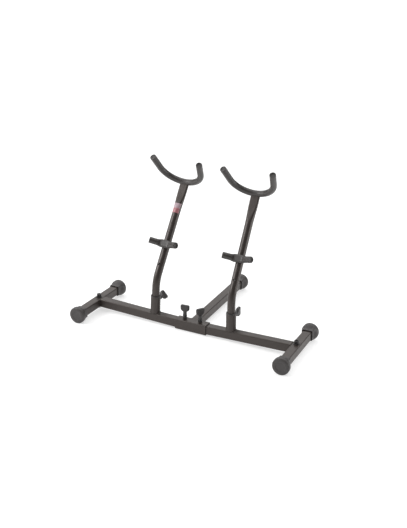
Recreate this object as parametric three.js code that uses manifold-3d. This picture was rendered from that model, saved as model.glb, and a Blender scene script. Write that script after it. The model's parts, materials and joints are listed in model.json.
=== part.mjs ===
// Double saxophone stand: two leaning posts with padded forks on a telescoping H base.
// Millimetres, +Z up. X runs along the beam, -Y is the player's side, Z = 0 is the floor.

import * as THREE from 'three';
import { mergeVertices } from 'three/addons/utils/BufferGeometryUtils.js';
import Module from 'manifold-3d';

const wasm = await Module();
wasm.setup();

// ---------------------------------------------------------------- driving dimensions

const GAP = 0.3; // clearance kept between pieces that touch
const TUBE = 25; // square tube of the beams and legs
const TUBE_WALL = 1.5;
const TUBE_CORNER = 3;
const CAP_RADIUS = 24; // rubber caps: the stand rests on them
const AXIS_Z = CAP_RADIUS; // height of a tube's axis inside its cap

const SLEEVE = 30; // square centre sleeve that takes both beam halves
const SLEEVE_WALL = 1.2;
const SLEEVE_LENGTH = 96;
const INSERTED = 41; // length of each beam half inside the sleeve
const BEAM_RISE = THREE.MathUtils.degToRad(1.5); // outwards, as the loose sleeve hangs low

const LEG_X = 311; // sleeve centre to cross leg centre
const LEG_REACH = 118; // beam axis to the end face of a cross leg's cap
const REAR_LEG_REACH = 343; // sleeve centre to the end face of the rear cap
const POST_X = 119.5; // sleeve centre to socket centre

const SOCKET_TOP = 89;
const SOCKET_RADIUS = 14;
const SOCKET_WALL = 1.2;
const POST_RADIUS = 11;
const POST_WALL = 1.5;
const POST_LEAN = THREE.MathUtils.degToRad(32.5);
const POST_CORNER_Z = 134.9; // where the upright and the leaning axes would meet
const POST_BEND_RADIUS = 85;
const FORK_DISTANCE = 295; // from that corner to the fork's centreline
const PEG_DISTANCE = 105;
const SPARE_HOLE_DISTANCE = 46;
const BLADE_LENGTH = 80; // flattened top of the post
const BLADE_WIDTH = 27;
const BLADE_THICKNESS = 8;
const FLATTENING_STEP = 20; // three steps from the round tube to the full blade

const HOSE_RADIUS = 9; // the same soft hose covers the forks and the pegs
const ROD_RADIUS = 6;
const FORK_RADIUS = 65;
const FORK_ARC = THREE.MathUtils.degToRad(80); // to each side of the fork's bottom
const FORK_ARM = 46.5;
const FORK_FORWARD = THREE.MathUtils.degToRad(39.3); // fork's plane, forward of vertical

const PEG_FLAT_HALF = 11.5;
const PEG_BEND_RADIUS = 20;
const PEG_BEND = THREE.MathUtils.degToRad(30);
const PEG_ARM = 24;

const SCREW_RADIUS = 3; // M6 clamping screws and studs
const BOLT_RADIUS = 4; // M8 leg bolts
const BASE_SCREW_X = 24;
const KNOB_LENGTH = 33;
const POST_SCREW_Z = 72;
const NUT_HEIGHT = 8; // weld nuts of the clamping screws
const NUT_FLATS = 10;
const KNOB_STANDOFF = 1.2; // knob's underside beyond its nut
const BASE_KNOB_TURN = { left: 0.1, right: 1.0 }; // radians from the beam's direction
const POST_KNOB_TURN = { left: 0.8, right: Math.PI / 2 };

// ---------------------------------------------------------------- materials

const FINISHES = {
  powder: { color: 0x3a3838, roughness: 0.42, metalness: 0.3 },
  rubber: { color: 0x2c2b2b, roughness: 0.8, metalness: 0 },
  hose: { color: 0x333232, roughness: 0.6, metalness: 0 },
  plastic: { color: 0x262525, roughness: 0.5, metalness: 0 },
  zinc: { color: 0x9a9a98, roughness: 0.35, metalness: 0.9 },
  black_steel: { color: 0x222222, roughness: 0.4, metalness: 0.7 },
};

function named(name, geometry, finish, parent) {
  const mesh = new THREE.Mesh(geometry, new THREE.MeshStandardMaterial(FINISHES[finish]));
  mesh.name = name;
  parent.add(mesh);
  return mesh;
}

// ---------------------------------------------------------------- shape helpers

// Circle, flat oval or rounded square: w by h with corner radius r, as n points.
// Half a step of offset puts one flat facet square to each side, where n is 4k.
function outline(w, h, r, n) {
  const points = [];
  for (let i = 0; i < n; i++) {
    const angle = ((i + 0.5) / n) * 2 * Math.PI;
    const c = Math.cos(angle);
    const s = Math.sin(angle);
    points.push([Math.sign(c) * (w / 2 - r) + r * c, Math.sign(s) * (h / 2 - r) + r * s]);
  }
  return points;
}

const circle = (radius, n) => outline(2 * radius, 2 * radius, radius, n);

// A circle whose facets, not its corners, lie at the radius.
const roundOver = (radius, n) => circle(radius / Math.cos(Math.PI / n), n);

// Places an outline on a plane at origin, spanned by the unit vectors u and v.
function ring(points, origin, u, v) {
  return points.map(([a, b]) => origin.clone().addScaledVector(u, a).addScaledVector(v, b));
}

// Skins a closed solid through rings with equal counts. A loop joins the last ring to the
// first, which makes a tube with open ends; otherwise both end rings are capped.
function skin(rings, loop = false) {
  const n = rings[0].length;
  const positions = rings.flat().flatMap((p) => [p.x, p.y, p.z]);
  const index = [];
  const bands = loop ? rings.length : rings.length - 1;
  for (let j = 0; j < bands; j++) {
    const a = j * n;
    const b = ((j + 1) % rings.length) * n;
    for (let i = 0; i < n; i++) {
      const k = (i + 1) % n;
      index.push(a + i, a + k, b + k, a + i, b + k, b + i);
    }
  }
  if (!loop) {
    const last = (rings.length - 1) * n;
    for (let i = 1; i < n - 1; i++) {
      index.push(0, i + 1, i);
      index.push(last, last + i, last + i + 1);
    }
  }
  return outward(buffer(positions, index));
}

function buffer(positions, index) {
  const geometry = new THREE.BufferGeometry();
  geometry.setAttribute('position', new THREE.Float32BufferAttribute(positions, 3));
  geometry.setIndex(index);
  return geometry;
}

// Turns the faces outward when the signed volume says that they point in.
function outward(geometry) {
  const p = geometry.getAttribute('position');
  const index = geometry.getIndex().array;
  const corner = [new THREE.Vector3(), new THREE.Vector3(), new THREE.Vector3()];
  let volume = 0;
  for (let t = 0; t < index.length; t += 3) {
    corner.forEach((c, k) => c.fromBufferAttribute(p, index[t + k]));
    volume += corner[0].dot(corner[1].clone().cross(corner[2]));
  }
  if (volume < 0) index.reverse();
  return geometry;
}

// Booleans: three.js geometry in, three.js geometry out.
function toSolid(geometry) {
  const bare = geometry.clone();
  bare.deleteAttribute('normal');
  bare.deleteAttribute('uv');
  const merged = mergeVertices(bare, 1e-4);
  return new wasm.Manifold(
    new wasm.Mesh({
      numProp: 3,
      vertProperties: new Float32Array(merged.getAttribute('position').array),
      triVerts: new Uint32Array(merged.getIndex().array),
    }),
  );
}

function fromSolid(solid) {
  const mesh = solid.getMesh();
  return buffer(Array.from(mesh.vertProperties), Array.from(mesh.triVerts));
}

function cut(geometry, ...tools) {
  return fromSolid(tools.reduce((solid, tool) => solid.subtract(toSolid(tool)), toSolid(geometry)));
}

function join(geometry, ...others) {
  return fromSolid(others.reduce((solid, other) => solid.add(toSolid(other)), toSolid(geometry)));
}

// Round bar between two points; the ends are flat.
function bar(from, to, radius, n = 12) {
  const axis = to.clone().sub(from).normalize();
  const side = Math.abs(axis.x) < 0.9 ? new THREE.Vector3(1, 0, 0) : new THREE.Vector3(0, 1, 0);
  const u = side.addScaledVector(axis, -side.dot(axis)).normalize();
  const v = axis.clone().cross(u);
  const points = circle(radius, n);
  return skin([ring(points, from, u, v), ring(points, to, u, v)]);
}

// Rings about an axis line: stations are [distance, outline].
function along(stations, origin, axis, u, v) {
  return stations.map(([d, points]) => ring(points, origin.clone().addScaledVector(axis, d), u, v));
}

const X = new THREE.Vector3(1, 0, 0);
const Y = new THREE.Vector3(0, 1, 0);
const Z = new THREE.Vector3(0, 0, 1);
const at = (x, y, z) => new THREE.Vector3(x, y, z);

// Square tube with rounded corners, open at both ends, along X or Y.
function squareTube(size, wall, corner, origin, axis, length) {
  const u = axis === X ? Y : X;
  const outer = outline(size, size, corner, 12);
  const inner = outline(size - 2 * wall, size - 2 * wall, corner - wall / 2, 12);
  const stations = [[0, outer], [length, outer], [length, inner], [0, inner]];
  return skin(along(stations, origin, axis, u, Z), true);
}

// Hexagon nut or hollow disc on an axis, from a shape with a hole.
function hollowPrism(points, holeRadius, height) {
  const shape = new THREE.Shape(points.map(([x, y]) => new THREE.Vector2(x, y)));
  const hole = circle(holeRadius, 12).map(([x, y]) => new THREE.Vector2(x, y));
  shape.holes.push(new THREE.Path(hole));
  return new THREE.ExtrudeGeometry(shape, { depth: height, bevelEnabled: false });
}

const hexagon = (acrossFlats) => circle(acrossFlats / Math.sqrt(3), 6);

// ---------------------------------------------------------------- base pieces

// Rubber cap, end face at the origin and mouth towards +Y: a round foot that narrows to a
// square sleeve, with a blind square socket for the tube. slope is the tube's fall towards
// the mouth, and roll turns the foot about its axis so that one facet lies on the floor.
const CAP_LENGTH = 34;
const CAP_FLOOR = 8; // thickness behind the end face
const CAP_SLEEVE = 31;
const CAP_RIM = [3, 13]; // stretch of the round foot that has the full radius
const CAP_BLEND = [21, 27]; // halfway section, then the first one of the square sleeve

function capGeometry({ slope = 0, roll = 0 }) {
  const n = 24;
  const bore = outline(TUBE + 2 * GAP, TUBE + 2 * GAP, TUBE_CORNER, n);
  const mouth = outline(CAP_SLEEVE, CAP_SLEEVE, 5, n);
  const halfway = outline(CAP_SLEEVE + 9, CAP_SLEEVE + 9, 13, n);
  const square = [[CAP_FLOOR, bore], [CAP_LENGTH, bore], [CAP_LENGTH, mouth],
    [CAP_BLEND[1], mouth], [CAP_BLEND[0], halfway]];
  const round = [
    [CAP_RIM[1], roundOver(CAP_RADIUS, n)],
    [CAP_RIM[0], roundOver(CAP_RADIUS, n)],
    [0, roundOver(CAP_RADIUS - 3, n)],
  ];
  const end = at(0, 0, 0);
  const u = at(Math.cos(roll), 0, -Math.sin(roll));
  const v = at(Math.sin(roll), 0, Math.cos(roll));
  return skin([...along(square, end, at(0, 1, -slope), X, Z), ...along(round, end, Y, u, v)]);
}

// Moulded wing knob on +Z, with a blind hole for the screw's shank.
const KNOB_HOLE = 12;

function knobGeometry() {
  const n = 12;
  const hole = circle(SCREW_RADIUS + GAP, n);
  const stations = [
    [KNOB_HOLE, hole],
    [0, hole],
    [0, circle(6, n)],
    [5, circle(5.6, n)],
    [12.5, circle(5.4, n)],
    [16, outline(19, 10.6, 5.2, n)],
    [19.5, outline(25.8, 10.2, 5, n)],
    [30, outline(27, 9.4, 4.6, n)],
    [KNOB_LENGTH, outline(21, 7, 3.4, n)],
  ];
  return skin(along(stations, at(0, 0, 0), Z, X, Y));
}

// Clamping screw as a group: its axis is +Z and its tip is at the group's origin.
// reach is the length from the tip to the underside of the knob.
function clampScrew(name, reach, turn, parent) {
  const group = new THREE.Group();
  group.rotation.z = turn;
  const shank = bar(at(0, 0, 0), at(0, 0, reach + KNOB_HOLE - GAP), SCREW_RADIUS);
  named(`${name}_screw`, shank, 'black_steel', group);
  named(`${name}_knob`, knobGeometry(), 'plastic', group).position.z = reach;
  parent.add(group);
  return group;
}

function weldNut(name, parent) {
  const nut = hollowPrism(hexagon(NUT_FLATS), SCREW_RADIUS + 2 * GAP, NUT_HEIGHT);
  return named(name, nut, 'black_steel', parent);
}

// Height of a beam half's axis at a distance x from the middle of the base.
const beamHeight = (x) => AXIS_Z - (LEG_X - x) * Math.sin(BEAM_RISE);

// The beams' inner ends lie on the sleeve's floor.
const BEAM_START = SLEEVE_LENGTH / 2 - INSERTED;
const SLEEVE_Z = beamHeight(BEAM_START) - TUBE / 2 - GAP + SLEEVE / 2 - SLEEVE_WALL;
const SLEEVE_TOP = SLEEVE_Z + SLEEVE / 2;
const TUBE_TOP = AXIS_Z + TUBE / 2;
const BASE_TIP_GAP = 0.45; // wider than GAP, as the beam slopes under the screw's tip

function addSleeve(parent) {
  const start = at(-SLEEVE_LENGTH / 2, 0, SLEEVE_Z);
  const tube = squareTube(SLEEVE, SLEEVE_WALL, TUBE_CORNER, start, X, SLEEVE_LENGTH);
  const holes = [-1, 1].map((side) => {
    const x = side * BASE_SCREW_X;
    return bar(at(x, 0, SLEEVE_Z), at(x, 0, SLEEVE_TOP + 1), SCREW_RADIUS + 2 * GAP);
  });
  named('center_sleeve', cut(tube, ...holes), 'powder', parent);
  for (const [side, word] of [[-1, 'left'], [1, 'right']]) {
    const nut = weldNut(`${word}_sleeve_nut`, parent);
    nut.position.set(side * BASE_SCREW_X, 0, SLEEVE_TOP + GAP);
    const tip = beamHeight(BASE_SCREW_X) + TUBE / 2 + BASE_TIP_GAP;
    const knobZ = SLEEVE_TOP + GAP + NUT_HEIGHT + KNOB_STANDOFF;
    const screw = clampScrew(`${word}_base`, knobZ - tip, BASE_KNOB_TURN[word], parent);
    screw.position.set(side * BASE_SCREW_X, 0, tip);
  }
}

// The rear leg rises from the low sleeve to its cap, which lies flat on the floor.
function addRearLeg(parent) {
  const slope = (AXIS_Z - SLEEVE_Z) / (REAR_LEG_REACH - SLEEVE / 2);
  const leg = new THREE.Group();
  leg.position.set(0, REAR_LEG_REACH, AXIS_Z);
  leg.rotation.x = Math.atan(slope);
  parent.add(leg);
  const from = SLEEVE / 2 + 2 * GAP - REAR_LEG_REACH;
  const to = -CAP_FLOOR - GAP;
  const tube = squareTube(TUBE, TUBE_WALL, TUBE_CORNER, at(0, from, 0), Y, to - from);
  named('rear_leg', tube, 'powder', leg);
  const cap = named('rear_leg_cap', capGeometry({ slope }), 'rubber', parent);
  cap.position.set(0, REAR_LEG_REACH, AXIS_Z);
  cap.rotation.z = Math.PI;
}

// ---------------------------------------------------------------- one half of the base

const INSERT = TUBE - 2 * TUBE_WALL - 1; // square steel insert at the beam's outer end
const INSERT_DEPTH = 40;
const INSERT_END_GAP = 1.4; // clears the leg's rounded inner corner
const BOLT_HOLE = BOLT_RADIUS + GAP;

function addBeam(side, word, parent) {
  const outer = LEG_X - TUBE / 2 - GAP;
  const start = at(side > 0 ? BEAM_START : -outer, 0, AXIS_Z);
  const tube = squareTube(TUBE, TUBE_WALL, TUBE_CORNER, start, X, outer - BEAM_START);
  named(`${word}_beam`, tube, 'powder', parent);

  const from = LEG_X - TUBE / 2 - INSERT_DEPTH;
  const to = LEG_X + TUBE / 2 - TUBE_WALL - INSERT_END_GAP;
  const section = outline(INSERT, INSERT, TUBE_CORNER, 16);
  const block = skin(along([[side * from, section], [side * to, section]], at(0, 0, AXIS_Z), X, Y, Z));
  const hole = bar(at(side * LEG_X, 0, 0), at(side * LEG_X, 0, 2 * AXIS_Z), BOLT_HOLE);
  named(`${word}_beam_insert`, cut(block, hole), 'black_steel', parent);
}

function addCrossLeg(side, word, parent) {
  const x = side * LEG_X;
  const end = LEG_REACH - CAP_FLOOR - GAP;
  const tube = squareTube(TUBE, TUBE_WALL, TUBE_CORNER, at(x, -end, AXIS_Z), Y, 2 * end);
  const window = new THREE.BoxGeometry(TUBE / 2, INSERT + 2 * GAP, INSERT + 2 * GAP);
  window.translate(x - side * (TUBE / 2), 0, AXIS_Z);
  const hole = bar(at(x, 0, 0), at(x, 0, 2 * AXIS_Z), BOLT_HOLE);
  named(`${word}_leg`, cut(tube, window, hole), 'powder', parent);
  for (const [place, end, turn] of [['front', -1, 0], ['rear', 1, Math.PI]]) {
    const roll = -end * side * BEAM_RISE;
    const cap = named(`${word}_${place}_cap`, capGeometry({ roll }), 'rubber', parent);
    cap.position.set(x, end * LEG_REACH, AXIS_Z);
    cap.rotation.z = turn;
  }
}

function addLegBolt(side, word, parent) {
  const x = side * LEG_X;
  const washerHeight = 1.6;
  const washerRadius = 8.5;
  const keyDepth = 4;
  const threadPastNut = 1.5;
  const washerZ = TUBE_TOP + GAP;
  const headZ = washerZ + washerHeight + GAP;
  const nutHeight = 6.5;
  const nutZ = AXIS_Z - TUBE / 2 - GAP - nutHeight;
  const washer = hollowPrism(circle(washerRadius, 16), BOLT_HOLE, washerHeight);
  named(`${word}_leg_washer`, washer, 'black_steel', parent).position.set(x, 0, washerZ);

  const n = 12;
  const key = circle(3.5, n);
  const head = circle(6.5, n);
  const shank = circle(BOLT_RADIUS, n);
  const top = headZ + 2 * BOLT_RADIUS;
  const stations = [[top - keyDepth, key], [top, key], [top, head], [headZ, head],
    [headZ, shank], [nutZ - threadPastNut, shank]];
  const bolt = skin(along(stations, at(x, 0, 0), Z, X, Y));
  named(`${word}_leg_bolt`, bolt, 'black_steel', parent);

  const nut = hollowPrism(hexagon(13), BOLT_HOLE, nutHeight);
  named(`${word}_leg_nut`, nut, 'zinc', parent).position.set(x, 0, nutZ);
}

const BUSH_FLANGE = 2.5;
const BUSH_ABOVE_SCREW = 5; // the clamp screw passes below the bush
const SOCKET_BORE = SOCKET_RADIUS - SOCKET_WALL;

function addSocket(side, word, parent) {
  const x = side * POST_X;
  const n = 16;
  const low = TUBE_TOP + GAP;
  const high = SOCKET_TOP - BUSH_FLANGE - GAP;
  const outer = circle(SOCKET_RADIUS, n);
  const bore = roundOver(SOCKET_BORE, n);
  const wall = skin(along([[low, outer], [high, outer], [high, bore], [low, bore]],
    at(x, 0, 0), Z, X, Y), true);
  const behind = at(x, SOCKET_RADIUS + NUT_HEIGHT, POST_SCREW_Z);
  const hole = bar(at(x, 0, POST_SCREW_Z), behind, SCREW_RADIUS + 2 * GAP);
  named(`${word}_socket`, cut(wall, hole), 'powder', parent);

  const bushLow = POST_SCREW_Z + BUSH_ABOVE_SCREW;
  const body = circle(SOCKET_BORE - GAP, n);
  const inner = roundOver(POST_RADIUS + GAP, n);
  const bush = skin(along([[bushLow, body], [high + GAP, body], [high + GAP, outer],
    [SOCKET_TOP, outer], [SOCKET_TOP, inner], [bushLow, inner]], at(x, 0, 0), Z, X, Y), true);
  named(`${word}_socket_bush`, bush, 'plastic', parent);

  const nut = weldNut(`${word}_socket_nut`, parent);
  nut.position.set(x, SOCKET_RADIUS + GAP, POST_SCREW_Z);
  nut.rotation.x = -Math.PI / 2;

  const tip = POST_RADIUS + GAP;
  const knobY = SOCKET_RADIUS + GAP + NUT_HEIGHT + KNOB_STANDOFF;
  const holder = new THREE.Group();
  holder.position.set(x, tip, POST_SCREW_Z);
  holder.rotation.x = -Math.PI / 2;
  parent.add(holder);
  clampScrew(`${word}_post`, knobY - tip, POST_KNOB_TURN[word], holder);
}

// ---------------------------------------------------------------- one post with its rests

const PLUG_HEIGHT = 8;
const PLUG_CLEARANCE = 0.5; // around the plug's disc, which slides in the socket
const SPIGOT_LENGTH = 12;
const POST_BOTTOM = TUBE_TOP + GAP + PLUG_HEIGHT + GAP;
const LEAN_DIRECTION = at(0, Math.sin(POST_LEAN), Math.cos(POST_LEAN));
const LEAN_FRONT = at(0, -Math.cos(POST_LEAN), Math.sin(POST_LEAN)); // away from the post's front
const onPost = (distance) => at(0, 0, POST_CORNER_Z).addScaledVector(LEAN_DIRECTION, distance);

function addPostPlug(word, parent) {
  const n = 16;
  const low = TUBE_TOP + GAP;
  const disc = circle(SOCKET_BORE - PLUG_CLEARANCE, n);
  const spigot = circle(POST_RADIUS - POST_WALL - GAP, n);
  const stations = [[low, disc], [low + PLUG_HEIGHT, disc], [low + PLUG_HEIGHT, spigot],
    [low + PLUG_HEIGHT + SPIGOT_LENGTH, spigot]];
  named(`${word}_post_plug`, skin(along(stations, at(0, 0, 0), Z, X, Y)), 'plastic', parent);
}

// Stations of the post's axis: upright, a bend, then the lean up to the fork.
function postAxis() {
  const bendLength = POST_BEND_RADIUS * Math.tan(POST_LEAN / 2);
  const bendLow = POST_CORNER_Z - bendLength;
  const axis = [{ centre: at(0, 0, POST_BOTTOM), lean: 0 }];
  const steps = 5;
  for (let i = 0; i <= steps; i++) {
    const lean = (i / steps) * POST_LEAN;
    const y = POST_BEND_RADIUS * (1 - Math.cos(lean));
    axis.push({ centre: at(0, y, bendLow + POST_BEND_RADIUS * Math.sin(lean)), lean });
  }
  return axis;
}

function postRing(points, { centre, lean }) {
  return ring(points, centre, X, at(0, Math.cos(lean), -Math.sin(lean)));
}

function addPost(word, parent) {
  const n = 12;
  const tube = (inset) => circle(POST_RADIUS - inset, n);
  const blade = (inset, part) => {
    const w = THREE.MathUtils.lerp(2 * POST_RADIUS, BLADE_WIDTH, part) - 2 * inset;
    const h = THREE.MathUtils.lerp(2 * POST_RADIUS, BLADE_THICKNESS, part) - 2 * inset;
    return outline(w, h, h / 2, n);
  };
  const bladeTop = FORK_DISTANCE - ROD_RADIUS - GAP;
  const bladeLow = FORK_DISTANCE - HOSE_RADIUS - BLADE_LENGTH;
  const flattening = [0, 0.35, 0.75, 1].map((part, i) => [part, bladeLow + i * FLATTENING_STEP]);
  const lower = postAxis();
  const outer = lower.map((station) => postRing(tube(0), station));
  const inner = lower.map((station) => postRing(tube(POST_WALL), station));
  for (const [part, distance] of flattening) {
    const station = { centre: onPost(distance), lean: POST_LEAN };
    outer.push(postRing(blade(0, part), station));
    inner.push(postRing(blade(POST_WALL, part), station));
  }
  outer.push(postRing(blade(0, 1), { centre: onPost(bladeTop), lean: POST_LEAN }));
  const holes = [SPARE_HOLE_DISTANCE, PEG_DISTANCE].map((distance) => {
    const middle = onPost(distance);
    const front = middle.clone().addScaledVector(LEAN_FRONT, 2 * POST_RADIUS);
    const back = middle.clone().addScaledVector(LEAN_FRONT, -2 * POST_RADIUS);
    return bar(front, back, SCREW_RADIUS + GAP);
  });
  named(`${word}_post`, cut(skin([...inner.reverse(), ...outer]), ...holes), 'powder', parent);
}

// Tube that follows stations of {centre, u, v}; open at both ends.
function sleeveAlong(path, outerOf, innerOf) {
  const outer = path.map((s) => ring(outerOf(s), s.centre, s.u, s.v));
  const inner = path.map((s) => ring(innerOf(s), s.centre, s.u, s.v));
  return skin([...outer, ...inner.reverse()], true);
}

function rodAlong(path, points) {
  return skin(path.map((s) => ring(points, s.centre, s.u, s.v)));
}

// A symmetric bent path in the plane of X and up, from the middle of the bend outwards:
// a flat stretch, an arc to each side, then straight arms. trim shortens both ends.
function bentPath(middle, up, { flatHalf, radius, bend, arm, steps, trim = 0 }) {
  const v = X.clone().cross(up).normalize();
  const halfPath = [];
  const station = (x, rise, angle) => ({ x, rise, angle });
  if (flatHalf > 0) halfPath.push(station(flatHalf * 0.5, 0, 0));
  for (let i = flatHalf > 0 ? 0 : 1; i <= steps; i++) {
    const angle = (i / steps) * bend;
    const x = flatHalf + radius * Math.sin(angle);
    halfPath.push(station(x, radius * (1 - Math.cos(angle)), angle));
  }
  const last = halfPath[halfPath.length - 1];
  const length = arm - trim;
  const x = last.x + length * Math.cos(bend);
  halfPath.push(station(x, last.rise + length * Math.sin(bend), bend));
  const toStation = (side) => (s) => {
    const centre = middle.clone().addScaledVector(X, side * s.x).addScaledVector(up, s.rise);
    const tangentX = Math.cos(s.angle);
    const tangentUp = side * Math.sin(s.angle);
    const tangent = X.clone().multiplyScalar(tangentX).addScaledVector(up, tangentUp);
    return { centre, u: v.clone().cross(tangent).normalize(), v, along: side * s.x, tangent };
  };
  const centreStation = toStation(1)(station(0, 0, 0));
  return [...halfPath.map(toStation(-1)).reverse(), centreStation, ...halfPath.map(toStation(1))];
}

// End plugs: short discs just inside both ends of a hose.
const PLUG_THICK = 4;
const PLUG_RECESS = 1.2;

function addEndPlugs(name, path, parent) {
  const ends = [['left', path[0], 1], ['right', path[path.length - 1], -1]];
  for (const [word, end, inward] of ends) {
    const outer = end.centre.clone().addScaledVector(end.tangent, inward * PLUG_RECESS);
    const inner = outer.clone().addScaledVector(end.tangent, inward * PLUG_THICK);
    named(`${name}_${word}_plug`, bar(outer, inner, ROD_RADIUS), 'plastic', parent);
  }
}

const END_TRIM = PLUG_RECESS + PLUG_THICK + GAP;

function addFork(word, parent) {
  const up = at(0, -Math.sin(FORK_FORWARD), Math.cos(FORK_FORWARD));
  const shape = { flatHalf: 0, radius: FORK_RADIUS, bend: FORK_ARC, arm: FORK_ARM, steps: 6 };
  const middle = onPost(FORK_DISTANCE);
  const path = bentPath(middle, up, shape);
  const rodPath = bentPath(middle, up, { ...shape, trim: END_TRIM });
  named(`${word}_fork_rod`, rodAlong(rodPath, circle(ROD_RADIUS, 12)), 'black_steel', parent);

  const bore = ROD_RADIUS + GAP;
  const hose = sleeveAlong(path, () => circle(HOSE_RADIUS, 12), () => roundOver(bore, 12));
  const slitDepth = 2 * HOSE_RADIUS;
  const slit = new THREE.BoxGeometry(BLADE_WIDTH + 1, BLADE_THICKNESS + 1, slitDepth);
  slit.rotateX(-POST_LEAN);
  const slitCentre = onPost(FORK_DISTANCE - slitDepth / 2);
  slit.translate(slitCentre.x, slitCentre.y, slitCentre.z);
  named(`${word}_fork_hose`, cut(hose, slit), 'hose', parent);
  addEndPlugs(`${word}_fork`, path, parent);
}

// Cross-sections of the peg: round arms that flatten towards the bolted middle.
const PEG_BAR_FLAT = { width: 17, thickness: 3.4 };
const PEG_BAR_WALL = 1.2;
const PEG_HOSE_WALL = HOSE_RADIUS - ROD_RADIUS - GAP;
const PEG_ROUND_FROM = 24; // distance from the middle where the arms are fully round

function pegSection(distance, grow) {
  const part = THREE.MathUtils.smoothstep(Math.abs(distance), PEG_FLAT_HALF - 2, PEG_ROUND_FROM);
  const w = THREE.MathUtils.lerp(PEG_BAR_FLAT.width, 2 * ROD_RADIUS, part) + 2 * grow;
  const h = THREE.MathUtils.lerp(PEG_BAR_FLAT.thickness, 2 * ROD_RADIUS, part) + 2 * grow;
  return outline(h, w, Math.min(w, h) / 2, 12);
}

const PEG_OFFSET = POST_RADIUS + GAP + PEG_BAR_FLAT.thickness / 2 + GAP + PEG_HOSE_WALL;
const STUD_BACK = 17; // stud length past the post's axis

function addPeg(word, parent) {
  const onAxis = onPost(PEG_DISTANCE);
  const middle = onAxis.clone().addScaledVector(LEAN_FRONT, PEG_OFFSET);
  const shape = { flatHalf: PEG_FLAT_HALF, radius: PEG_BEND_RADIUS, bend: PEG_BEND,
    arm: PEG_ARM, steps: 3 };
  const path = bentPath(middle, LEAN_FRONT, shape);
  const barPath = bentPath(middle, LEAN_FRONT, { ...shape, trim: END_TRIM });
  const pegBar = sleeveAlong(barPath, (s) => pegSection(s.along, 0),
    (s) => pegSection(s.along, -PEG_BAR_WALL));
  named(`${word}_peg_bar`, pegBar, 'black_steel', parent);

  const hose = sleeveAlong(path, (s) => pegSection(s.along, GAP + PEG_HOSE_WALL),
    (s) => pegSection(s.along, GAP));
  const back = onAxis.clone().addScaledVector(LEAN_FRONT, -STUD_BACK);
  const studHole = bar(middle, back, SCREW_RADIUS + 2 * GAP);
  named(`${word}_peg_hose`, cut(hose, studHole), 'hose', parent);
  addEndPlugs(`${word}_peg`, path, parent);

  const studFront = PEG_OFFSET - PEG_BAR_FLAT.thickness / 2 - GAP;
  const start = onAxis.clone().addScaledVector(LEAN_FRONT, studFront);
  named(`${word}_peg_stud`, bar(start, back, SCREW_RADIUS), 'zinc', parent);
  addWingNut(word, onAxis, parent);
}

// Wing nut behind the post: a round hub with two upright wings, threaded on the stud.
function addWingNut(word, onAxis, parent) {
  const hub = bar(at(0, 0, 0), at(0, 0, 6), 5.2, 12);
  const wings = [-1, 1].map((side) => {
    const wing = new THREE.Shape();
    wing.moveTo(side * 3.6, 1);
    wing.lineTo(side * 8, 3);
    wing.absarc(side * 9, 8, 3.4, side > 0 ? -0.6 : Math.PI + 0.6, Math.PI / 2, side < 0);
    wing.lineTo(side * 3.6, 5);
    const plate = new THREE.ExtrudeGeometry(wing, { depth: 2, bevelEnabled: false, curveSegments: 6 });
    plate.translate(0, 0, -1);
    plate.rotateX(Math.PI / 2);
    return plate;
  });
  const bore = bar(at(0, 0, -1), at(0, 0, 20), SCREW_RADIUS + GAP);
  const nut = cut(join(hub, ...wings), bore);
  const mesh = named(`${word}_peg_wing_nut`, nut, 'zinc', parent);
  mesh.position.copy(onAxis).addScaledVector(LEAN_FRONT, -(POST_RADIUS + GAP));
  mesh.quaternion.setFromUnitVectors(Z, LEAN_FRONT.clone().negate());
}

// ---------------------------------------------------------------- assembly

// Each half rises outwards by BEAM_RISE about the middle of its stretch inside the sleeve.
function addHalf(side, word, parent) {
  const pivot = SLEEVE_LENGTH / 2 - INSERTED / 2;
  const half = new THREE.Group();
  half.position.set(side * pivot, 0, beamHeight(pivot));
  half.rotation.y = -side * BEAM_RISE;
  const inner = new THREE.Group();
  inner.position.set(-side * pivot, 0, -AXIS_Z);
  half.add(inner);
  parent.add(half);
  addBeam(side, word, inner);
  addCrossLeg(side, word, inner);
  addLegBolt(side, word, inner);
  addSocket(side, word, inner);

  const post = new THREE.Group();
  post.position.x = side * POST_X;
  inner.add(post);
  addPostPlug(word, post);
  addPost(word, post);
  addFork(word, post);
  addPeg(word, post);
}

const group = new THREE.Group();
addSleeve(group);
addRearLeg(group);
addHalf(-1, 'left', group);
addHalf(1, 'right', group);

// The origin is on the floor, under the middle of the stand's outline.
group.updateMatrixWorld(true);
const box = new THREE.Box3().setFromObject(group, true);
group.position.y = -(box.min.y + box.max.y) / 2;

export default group;
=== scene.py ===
"""Looks of the double saxophone stand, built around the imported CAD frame."""

import json
import math

import bmesh
import bpy
from mathutils import Matrix, Vector


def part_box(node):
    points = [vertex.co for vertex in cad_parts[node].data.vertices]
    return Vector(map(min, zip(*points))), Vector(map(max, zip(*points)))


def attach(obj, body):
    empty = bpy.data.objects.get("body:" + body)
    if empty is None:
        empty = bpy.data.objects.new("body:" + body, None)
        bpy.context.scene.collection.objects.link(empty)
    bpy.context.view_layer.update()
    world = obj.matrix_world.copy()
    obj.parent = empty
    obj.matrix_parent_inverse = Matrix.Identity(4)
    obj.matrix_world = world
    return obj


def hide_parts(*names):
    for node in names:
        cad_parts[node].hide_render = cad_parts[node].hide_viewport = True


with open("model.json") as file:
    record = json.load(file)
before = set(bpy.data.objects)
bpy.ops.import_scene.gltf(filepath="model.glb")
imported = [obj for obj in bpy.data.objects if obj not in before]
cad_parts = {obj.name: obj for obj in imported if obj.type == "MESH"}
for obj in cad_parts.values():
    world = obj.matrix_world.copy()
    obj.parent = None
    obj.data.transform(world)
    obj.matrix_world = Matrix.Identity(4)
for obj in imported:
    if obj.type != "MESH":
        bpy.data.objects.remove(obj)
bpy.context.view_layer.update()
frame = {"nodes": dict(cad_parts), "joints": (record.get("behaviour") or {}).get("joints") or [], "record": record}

MM = 0.001
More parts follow.
